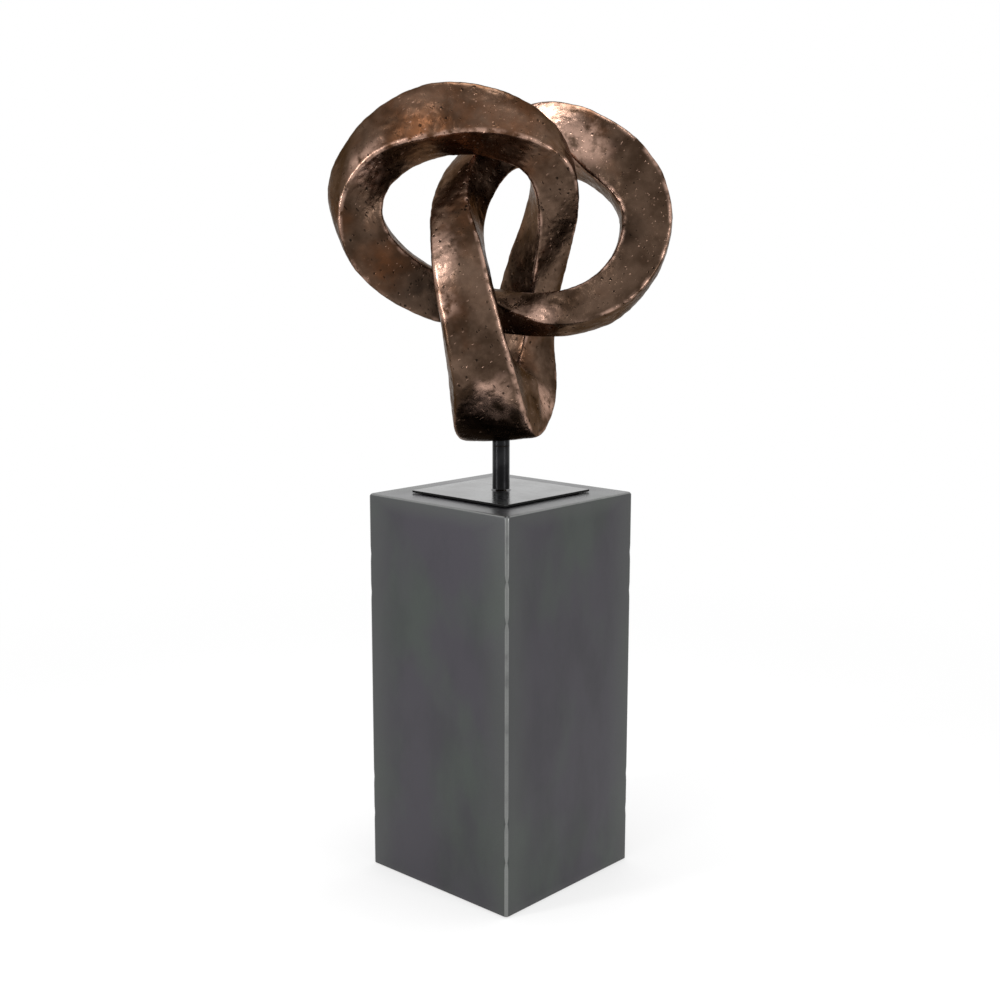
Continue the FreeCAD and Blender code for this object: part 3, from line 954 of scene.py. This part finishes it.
# %% Sizes of the turned pieces
plate_low, plate_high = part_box("base_plate")
post_low, post_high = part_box("post")
ring_low, ring_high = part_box("foot_ring")
washer_low, washer_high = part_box("thrust_washer")
sleeve_low, sleeve_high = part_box("knot_sleeve")
bolt_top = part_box("post_bolt")[1][2]
post_radius = post_high[0]
ring_radius = ring_high[0]
spigot_radius = 10 * mm
spigot_lead_in = 1.5 * mm
running_clearance = 0.05 * mm
bore_radius = spigot_radius + running_clearance
bore_end_gap = 2 * mm
bolt_hole_radius = 5.2 * mm
bolt_hole_spare = 5 * mm
turned_edge = 0.2 * mm
turned_places = 96
print("post:", round(2 * post_radius / mm), "mm thick, ring:", round(2 * ring_radius / mm), "mm")

# %% Post, sleeve and foot ring
def turned(name, profile, edge, hollow=False):
    """Turned piece from its profile of radius and height; a hollow one closes on itself."""
    if hollow:
        middle = (Vector(profile[0]) + Vector(profile[-1])) / 2
        profile = [middle, *profile, middle]
    outline = eased(profile, edge)
    if hollow:
        outline = outline[:-1]
    return from_rings(name, [round_ring(*point, turned_places) for point in outline], hollow)


post_piece = turned("post_turned", [
    (bolt_hole_radius, bolt_top + bolt_hole_spare),
    (bolt_hole_radius, post_low[2]),
    (post_radius, post_low[2]),
    (post_radius, washer_low[2]),
    (spigot_radius, washer_low[2]),
    (spigot_radius, post_high[2] - spigot_lead_in),
    (spigot_radius - spigot_lead_in, post_high[2]),
], turned_edge)
dress(post_piece, "post", "stand", satin_black)

sleeve_piece = turned("knot_sleeve_turned", [
    (bore_radius, post_high[2] + bore_end_gap),
    (bore_radius, sleeve_low[2]),
    (post_radius, sleeve_low[2]),
    (post_radius, sleeve_high[2]),
], turned_edge)
dress(sleeve_piece, "knot_sleeve", "knot", satin_black)

foot_ring_piece = turned("foot_ring_turned", [
    (post_radius, ring_low[2]),
    (ring_radius, ring_low[2]),
    (post_radius, ring_high[2]),
], turned_edge, hollow=True)
dress(foot_ring_piece, "foot_ring", "stand", worn_bright)

# %% [markdown]
# ## Oiled bearing bronze
#
# The washer that carries the knot is a plain bronze bearing washer. It has lain in oil
# and steel dust for years, and only its edge shows, as a dark line. Its top lies a film
# of oil below the sleeve, so that no two faces of turning pieces are drawn in one plane.

# %% Thrust washer
def oiled_bronze():
    """Bearing bronze, browned by oil."""
    material, tree, shader, place = new_material("oiled_bearing_bronze", metallic=1.0)
    grime = patches(tree, place, 5 * mm, 0.30, 0.65, 4.0)
    base = layer(tree, "#211c17", "#131211", grime, 0.9)
    rough = add(tree, "ShaderNodeMapRange", {"Value": grime, "To Min": 0.30, "To Max": 0.5})
    finish(tree, shader, base, rough)
    return material


oil_film = 0.03 * mm
washer_piece = turned("thrust_washer_turned", [
    (bore_radius, washer_low[2]),
    (post_radius, washer_low[2]),
    (post_radius, washer_high[2] - oil_film),
    (bore_radius, washer_high[2] - oil_film),
], turned_edge, hollow=True)
dress(washer_piece, "thrust_washer", "stand", oiled_bronze())

# %% [markdown]
# ## The base plate
#
# The plate is hot rolled steel, cut square, brushed flat and blackened. It looks pale
# from the side because at a low angle any metal mirrors the room, and dark close to the
# post because there it mirrors the post. So its roughness matters more than its colour:
# smooth enough for a soft image of the post, and a little uneven from the brushing. The
# brushed lines are drawn several times as wide as real ones, so that they show.
#
# It could be a plain box, but the bolt that holds the post has a countersunk head, and
# the hole for it shows when the plate is lifted. A ring stack that closes on itself goes
# over the top, round the edge, along the underside and back up through the hole.

# %% Finish of the plate
plate_black = "#444646"
plate_brown = "#3b3a39"
brush_length = 90 * mm
brush_width = 1.2 * mm


def brushed_black_plate():
    """Brushed and blackened steel plate with a waxed satin face, and painted shade on its thin
    sides.
    """
    material, tree, shader, place = new_material(
        "blackened_steel_plate", metallic=1.0, coat_weight=0.62, coat_roughness=0.16,
    )
    blotches = patches(tree, place, 60 * mm, 0.35, 0.7, 4.0)
    base = layer(tree, plate_black, plate_brown, blotches, 0.8)
    brushed = stretched(tree, place, (1 / brush_length, 1 / brush_width, 1 / brush_width),
                        (0, 0, -pedestal_turn))
    grain = patches(tree, brushed, 1.0, 0.25, 0.75, 2.0)
    base = layer(tree, base, oxide_black, grain, 0.18)
    # Painted shade: the thin sides of the plate are laid over with near black.
    facing = add(tree, "ShaderNodeTexCoord").outputs["Normal"]
    level = add(tree, "ShaderNodeSeparateXYZ", {0: facing}).outputs["Z"]
    side = add(tree, "ShaderNodeMapRange", {"Value": level, "From Min": 0.6, "From Max": 0.2})
    base = layer(tree, base, "#070707", side)
    rough = add(tree, "ShaderNodeMath", {0: grain, 1: 0.05, 2: 0.24}, operation="MULTIPLY_ADD")
    rough = add(tree, "ShaderNodeMath", {0: blotches, 1: 0.06, 2: rough}, operation="MULTIPLY_ADD")
    finish(tree, shader, base, rough, grain, 0.02 * mm, 0.25)
    return material


# %% Base plate
def on_circle(ring, radius):
    """The points of a ring moved in or out to a circle about the post's axis."""
    return [(*(Vector(point[:2]).normalized() * radius), point[2]) for point in ring]


def plate_with_hole(name, half, low, high):
    """Square plate with eased edges, round a countersunk hole for the bolt."""
    wide = bolt_head_radius + bolt_play
    narrow = wide - (high - low)
    profile = [(wide, low), (half, low), (half, high), (narrow, high)]
    rings = [
        square_ring(*point, plate_corner_radius, plate_side_steps)
        for point in eased(profile, plate_edge)
    ]
    rings[0] = on_circle(rings[0], wide)
    rings[-1] = on_circle(rings[-1], narrow)
    return from_rings(name, rings, hollow=True)


across_corners = math.cos(pedestal_turn) - math.sin(pedestal_turn)
plate_half = (plate_high[0] - plate_low[0]) / 2 / across_corners
plate_edge = 0.6 * mm
plate_corner_radius = 1.0 * mm
plate_side_steps = 12
bolt_head_radius = 10 * mm
bolt_play = 0.2 * mm
plate_piece = plate_with_hole("base_plate_cut", plate_half, plate_low[2], plate_high[2])
dress(plate_piece, "base_plate", "stand", brushed_black_plate())

# %% [markdown]
# ## The pedestal's cover
#
# The pedestal is a timber core in a skin of thin sheet steel, folded round and welded at
# one corner. The sheet was rubbed down, darkened with a patina wash in wide vertical
# strokes and waxed: a gunmetal grey that drifts between a cool violet and a warm green,
# darker in the middle of each side and paler near the edges, where the rubbing pad
# reached. Along the folds themselves the steel is rubbed bright, and the pale line there
# is also a painted highlight. Its fine speckle is drawn about three times as large as the
# real one.

# %% Sizes of the cover
cover_low, cover_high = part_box("pedestal_cover")
cover_top = cover_high[2]
cover_foot = cover_low[2]
sheet_thickness = 2 * mm
upright_edge_radius = 8 * mm
top_edge_radius = 4 * mm
rounded_corner_reach = upright_edge_radius * (across_corners - 1)
cover_half = ((cover_high[0] - cover_low[0]) / 2 + rounded_corner_reach) / across_corners
wave_size = 160 * mm
wave_height = 0.25 * mm
row_spacing = 14 * mm
cover_side_steps = 24
print("cover:", round(2 * cover_half / mm), "mm wide, top at", round(cover_top / mm), "mm")

# %% Gunmetal sheet
gun_violet = "#37343b"
gun_green = "#383e3a"
gun_dark = "#262529"
gun_pale = "#474b47"
gun_bright = "#9a9b99"
halo_start, halo_end = 75 * mm, 8 * mm
fold_start, fold_end = 5.2 * mm, 4.75 * mm


def beside_folds(tree, squared_up):
    """Distance from the nearest fold, over both its faces; the tighter rim counts double."""
    signs = add(tree, "ShaderNodeVectorMath", {0: squared_up}, operation="ABSOLUTE")
    reach = add(tree, "ShaderNodeVectorMath", {
        0: (cover_half, cover_half, cover_top), 1: signs,
    }, operation="SUBTRACT")
    reach = add(tree, "ShaderNodeSeparateXYZ", {0: reach}).outputs
    upright, *rims = [
        add(tree, "ShaderNodeMath", {0: reach[first], 1: reach[second]})
        for first, second in ((0, 1), (0, 2), (1, 2))
    ]
    rim = add(tree, "ShaderNodeMath", {0: rims[0], 1: rims[1]}, operation="MINIMUM")
    rim = add(tree, "ShaderNodeMath", {0: rim, 1: upright_edge_radius / top_edge_radius},
              operation="MULTIPLY")
    return add(tree, "ShaderNodeMath", {0: upright, 1: rim}, operation="MINIMUM")


def gunmetal_sheet():
    """Steel sheet with a dark patina wash, rubbed pale along its folds with a painted highlight
    there, and waxed.
    """
    material, tree, shader, place = new_material(
        "patinated_sheet_steel", metallic=1.0, coat_weight=0.6, coat_roughness=0.24,
    )
    squared_up = add(tree, "ShaderNodeVectorRotate", {"Vector": place, "Angle": -pedestal_turn},
                     rotation_type="Z_AXIS")
    drifts = patches(tree, stretched(tree, squared_up, (1.0, 1.0, 0.6)), 150 * mm, 0.44, 0.68, 3.0)
    base = layer(tree, gun_violet, gun_green, drifts)
    wash = patches(tree, stretched(tree, squared_up, (1.0, 1.0, 0.5)), 90 * mm, 0.38, 0.70, 4.0)
    base = layer(tree, base, gun_dark, wash, 0.40)

    nearest = beside_folds(tree, squared_up)
    halo, fold = [
        add(tree, "ShaderNodeMapRange", {
            "Value": nearest, "From Min": start, "From Max": end,
        }, interpolation_type="SMOOTHSTEP").outputs[0]
        for start, end in ((halo_start, halo_end), (fold_start, fold_end))
    ]
    base = layer(tree, base, gun_pale, halo, 0.5)
    # Bright steel along the folds, rubbed and also a painted highlight of their rounding.
    fold = joined(tree, patches(tree, place, 40 * mm, 0.0, 0.50, 3.0), fold, "MULTIPLY")
    base = layer(tree, base, gun_bright, fold, 0.5)
    speckle = patches(tree, place, 2.2 * mm, 0.35, 0.70, 3.0)
    base = layer(tree, base, gun_dark, speckle, 0.12)

    rough = add(tree, "ShaderNodeMath", {0: wash, 1: 0.08, 2: 0.42}, operation="MULTIPLY_ADD")
    rough = add(tree, "ShaderNodeMath", {0: fold, 1: -0.12, 2: rough}, operation="MULTIPLY_ADD")
    finish(tree, shader, base, rough, speckle, 0.03 * mm, 0.3)
    return material


# %% [markdown]
# Thin sheet is never quite flat, so the skin gets a wave of a few tenths of a millimetre,
# inwards only, that dies out at the folds. Its rings are close together for that. The
# skin goes over the outside, round the foot and up the inside, because the model can be
# taken apart and then shows the thickness of the sheet.

# %% Cover of the pedestal
def stepped(start, end):
    """Points from a start towards an end, about one row spacing apart."""
    start, end = Vector(start), Vector(end)
    steps = max(1, round((end - start).length / row_spacing))
    return [start.lerp(end, step / steps) for step in range(steps)]


def waved_cover():
    """Cover as a closed skin: over the outside, round the foot, and up the inside."""
    ceiling = cover_top - sheet_thickness
    inner_half = cover_half - sheet_thickness
    bend_start = cover_top - 3 * top_edge_radius
    bend = eased([(cover_half, bend_start), (cover_half, cover_top),
                  (cover_half - 3 * top_edge_radius, cover_top)], top_edge_radius)
    middle = 30 * mm
    profile = [(middle, ceiling), (inner_half, ceiling), (inner_half, cover_foot)]
    profile += stepped((cover_half, cover_foot), bend[0]) + bend[:-1]
    profile += stepped(bend[-1], (middle, cover_top)) + [Vector((middle, cover_top))]
    rings = []
    for half, height in profile:
        radius = min(upright_edge_radius, half / 2)
        if height < cover_top - top_edge_radius and half < cover_half:
            radius -= sheet_thickness
        rings.append(square_ring(half, height, radius, cover_side_steps))
    cover = from_rings("pedestal_cover_sheet", rings)
    for vertex in cover.data.vertices:
        outward = vertex.co.copy()
        outward.z = 0
        if outward.length > inner_half and vertex.co.z < bend_start:
            squared_up = Matrix.Rotation(-pedestal_turn, 3, "Z") @ outward
            to_fold = min(abs(squared_up.x), abs(squared_up.y)) / inner_half
            wave = (noise.noise(vertex.co / wave_size) - 1) * max(0, 1 - to_fold ** 2)
            vertex.co += outward.normalized() * (wave * wave_height / 2)
    return cover


dress(waved_cover(), "pedestal_cover", "pedestal", gunmetal_sheet())

# %% [markdown]
# ## The pieces that don't show
#
# The timber core, the screws, the bolt, the mat and the pads keep their measured shapes.
# They still get the finish that they have in the real thing, because the model can be
# taken apart. Wood is the one with a direction: its grain runs along each piece. The
# fibres of wood and felt and the grain of the rubber are drawn several times as thick as
# the real ones, as bundles, so that a close picture shows them.

# %% Wood and zinc
def wood(name, pale, dark, grain_along, fibre_size):
    """Planed softwood or sanded plywood, unfinished: long grain, rings and a dull face."""
    material, tree, shader, place = new_material(name)
    along = stretched(tree, place, grain_along, (0, 0, -pedestal_turn))
    grain = patches(tree, along, 9 * mm, 0.28, 0.72, 5.0)
    fibres = patches(tree, along, fibre_size, 0.30, 0.70, 2.0)
    base = layer(tree, layer(tree, pale, dark, grain, 0.7), dark, fibres, 0.25)
    rough = add(tree, "ShaderNodeMapRange", {"Value": grain, "To Min": 0.62, "To Max": 0.78})
    finish(tree, shader, base, rough, fibres, 0.1 * mm, 0.4)
    return material


def zinc_plated_steel():
    """Bright zinc on rolled threads and pressed heads, dulled by handling."""
    material, tree, shader, place = new_material("zinc_plated_steel", metallic=1.0)
    bloom = patches(tree, place, 2.5 * mm, 0.35, 0.70, 4.0)
    rough = add(tree, "ShaderNodeMapRange", {"Value": bloom, "To Min": 0.25, "To Max": 0.42})
    finish(tree, shader, layer(tree, "#b9bbbe", "#8c8f94", bloom, 0.8), rough)
    return material


# %% Rubber and felt
def black_rubber():
    """Black sheet rubber with a fine moulded grain, dusty in its hollows."""
    material, tree, shader, place = new_material("black_sheet_rubber")
    dust = patches(tree, place, 45 * mm, 0.45, 0.75, 3.0)
    grain = patches(tree, place, 0.9 * mm, 0.3, 0.7, 2.0)
    rough = add(tree, "ShaderNodeMapRange", {"Value": grain, "To Min": 0.7, "To Max": 0.85})
    base = layer(tree, "#1c1c1c", "#3a3836", dust, 0.5)
    finish(tree, shader, base, rough, grain, 0.15 * mm, 0.5)
    return material


def wool_felt():
    """Pressed black wool felt, its fibres matted in all directions."""
    material, tree, shader, place = new_material("black_wool_felt")
    fibres = joined(tree, *[
        patches(tree, stretched(tree, place, (0.2, 1, 1), (0, 0, turn)), 0.35 * mm, 0.35, 0.7, 3.0)
        for turn in (0.6, -0.9)
    ])
    rough = add(tree, "ShaderNodeMapRange", {"Value": fibres, "To Min": 0.9, "To Max": 1.0})
    base = layer(tree, "#151515", "#343333", fibres, 0.7)
    finish(tree, shader, base, rough, fibres, 0.2 * mm, 0.6)
    return material


# %% Finishes of the hidden pieces
board_wood = wood("birch_plywood", "#d2b58a", "#a98456", (0.15, 1.0, 1.0), 0.8 * mm)
batten_wood = wood("planed_spruce", "#dcc08d", "#b58a52", (1.0, 1.0, 0.06), 0.6 * mm)
zinc = zinc_plated_steel()
hidden_finishes = {
    "pedestal_top_board": board_wood,
    "pedestal_bottom_board": board_wood,
    "bottom_board_screws": zinc,
    "post_bolt": zinc,
    "floor_mat": black_rubber(),
    "felt_pads": wool_felt(),
}
for side in ("front", "right", "back", "left"):
    hidden_finishes[f"corner_batten_{side}"] = batten_wood
for node, material in hidden_finishes.items():
    nodes[node].data.materials.clear()
    nodes[node].data.materials.append(material)
print(len(hidden_finishes), "measured pieces keep their own shape")

# %% [markdown]
# ## World and floor
#
# The sculpture stands on a white floor in soft, even studio light. The world is pure
# white where the camera or a reflection looks, and a little dimmer as a light, so that
# forms keep their shade. The floor does both at once. It is a real white floor near the
# pedestal, so that a soft shadow falls on it, and it glows as white as the world further
# out, so that no horizon shows.

# %% White world
scene = bpy.context.scene
scene.view_settings.view_transform = "Standard"
ambient_strength = 0.75


def white_for_camera(tree):
    """1 where the camera, a reflection or a see-through ray looks, else 0."""
    rays = add(tree, "ShaderNodeLightPath").outputs
    either = add(tree, "ShaderNodeMath", {
        0: rays["Is Camera Ray"], 1: rays["Is Glossy Ray"],
    }, operation="MAXIMUM")
    return add(tree, "ShaderNodeMath", {0: either, 1: rays["Is Transmission Ray"]},
               operation="MAXIMUM")


def studio_world():
    """White surroundings, dimmer as a light than as a backdrop."""
    world = bpy.data.worlds.new("studio")
    world.use_nodes = True
    tree = world.node_tree
    tree.nodes.clear()
    strength = add(tree, "ShaderNodeMapRange", {
        "Value": white_for_camera(tree), "To Min": ambient_strength, "To Max": 1.0,
    })
    sky = add(tree, "ShaderNodeBackground", {"Color": colour("#ffffff"), "Strength": strength})
    add(tree, "ShaderNodeOutputWorld", {"Surface": sky})
    return world


scene.world = studio_world()
print("white world, as a light at", ambient_strength)

# %% White floor
floor_reach = 6.0
fade_start, fade_end = 0.5, 2.5
glow_near_share = 0.6


def white_floor():
    """White paint that keeps a soft shadow near the pedestal and glows further out."""
    material = bpy.data.materials.new("white_floor")
    material.use_nodes = True
    tree = material.node_tree
    tree.nodes.clear()
    paint = add(tree, "ShaderNodeBsdfDiffuse", {"Color": colour("#f7f7f7")})
    glow = add(tree, "ShaderNodeEmission", {"Color": colour("#ffffff"), "Strength": 1.0})
    place = add(tree, "ShaderNodeTexCoord").outputs["Object"]
    away = add(tree, "ShaderNodeVectorMath", {0: place}, operation="LENGTH").outputs["Value"]
    fade = add(tree, "ShaderNodeMapRange", {
        "Value": away, "From Min": fade_start, "From Max": fade_end,
        "To Min": glow_near_share, "To Max": 1.0,
    }, interpolation_type="SMOOTHSTEP")
    part = add(tree, "ShaderNodeMath", {0: white_for_camera(tree), 1: fade}, operation="MULTIPLY")
    mix = add(tree, "ShaderNodeMixShader", {0: part, 1: paint, 2: glow})
    add(tree, "ShaderNodeOutputMaterial", {"Surface": mix})
    return material


mesh = bpy.data.meshes.new("studio_floor")
signs = ((-1, -1), (1, -1), (1, 1), (-1, 1))
mesh.from_pydata([(x * floor_reach, y * floor_reach, 0) for x, y in signs], [], [(0, 1, 2, 3)])
mesh.materials.append(white_floor())
floor = bpy.data.objects.new("studio_floor", mesh)
scene.collection.objects.link(floor)
print("white floor", 2 * floor_reach, "m wide")

# %% [markdown]
# ## Lamps and camera
#
# Bronze shows what it mirrors, so the lamps are large. A tall strip on each side draws the
# long highlights along the bars, and a softbox above and one at the front left open up
# the shade. The camera stands 2.5 m away, a little above the middle of the knot, and
# looks down by ten degrees, as the pedestal's edges in the photograph show.

# %% Lamps and camera
# Place in metres, width and height in metres, and power in watts.
lamps = {
    "left_strip": ((-1.85, -1.05, 1.25), 0.35, 1.7, 24),
    "left_softbox": ((-1.5, -2.0, 2.6), 0.6, 0.6, 8),
    "right_strip": ((1.6, -1.4, 1.25), 0.3, 1.6, 13),
    "top_softbox": ((0.2, 0.1, 3.0), 0.9, 0.9, 30),
}
for name, (place, width, height, power) in lamps.items():
    lamp = bpy.data.lights.new(name, "AREA")
    lamp.shape = "RECTANGLE"
    lamp.size, lamp.size_y, lamp.energy = width, height, power
    holder = bpy.data.objects.new(name, lamp)
    holder.location = place
    direction = Vector(middle_of_knot) - Vector(place)
    holder.rotation_euler = direction.to_track_quat("-Z", "Y").to_euler()
    scene.collection.objects.link(holder)

camera_place = (-2.3 * mm, -2495.3 * mm, 1123.7 * mm)
camera_tilt, camera_roll = 80.06, -0.07
camera = bpy.data.cameras.new("photo_camera")
camera.sensor_width = 36.0
camera.lens = 50.9
holder = bpy.data.objects.new("photo_camera", camera)
holder.location = camera_place
holder.rotation_euler = (math.radians(camera_tilt), math.radians(camera_roll), 0)
scene.collection.objects.link(holder)
scene.camera = holder
print(len(lamps), "lamps, and a camera with a lens of", round(camera.lens, 1), "mm")
